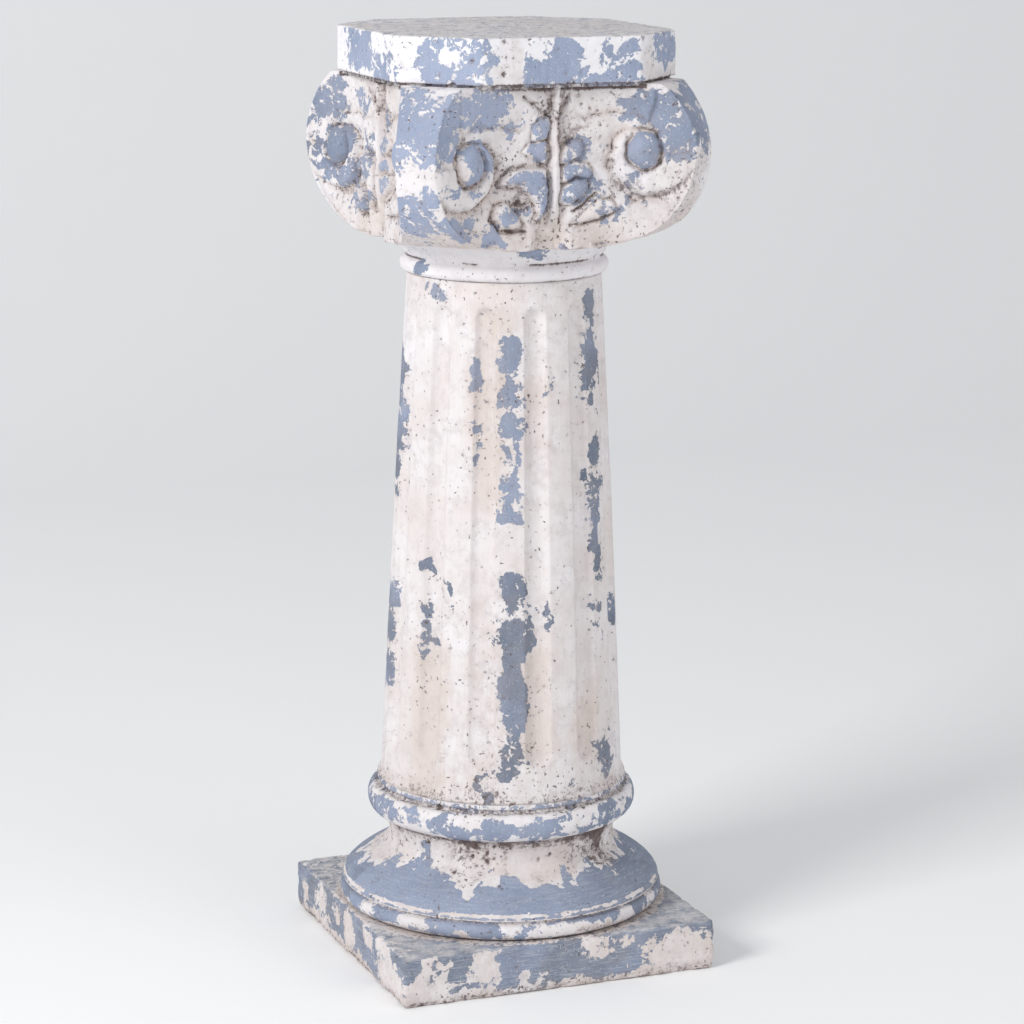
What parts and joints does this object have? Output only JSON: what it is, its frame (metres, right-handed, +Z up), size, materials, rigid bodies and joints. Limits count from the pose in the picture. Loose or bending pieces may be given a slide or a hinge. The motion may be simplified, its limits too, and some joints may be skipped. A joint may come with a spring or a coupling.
{
  "type": "decorative pedestal column",
  "caption": "Free-standing pedestal column: square plinth, round base, fluted tapering shaft and a corner-volute capital under a flat slab that carries a pot or statue, in worn chalky paint.",
  "frame": {"origin": "middle of the plinth's underside, on the ground", "axes": "+Z up along the column's axis; the front face of the plinth and capital looks along -Y, +X is to its right"},
  "size_m": [0.28, 0.28, 0.785],
  "materials": {
    "chalk_paint": "matte"
  },
  "bodies": {
    "root": {"column": "chalk_paint"}
  },
  "joints": []
}
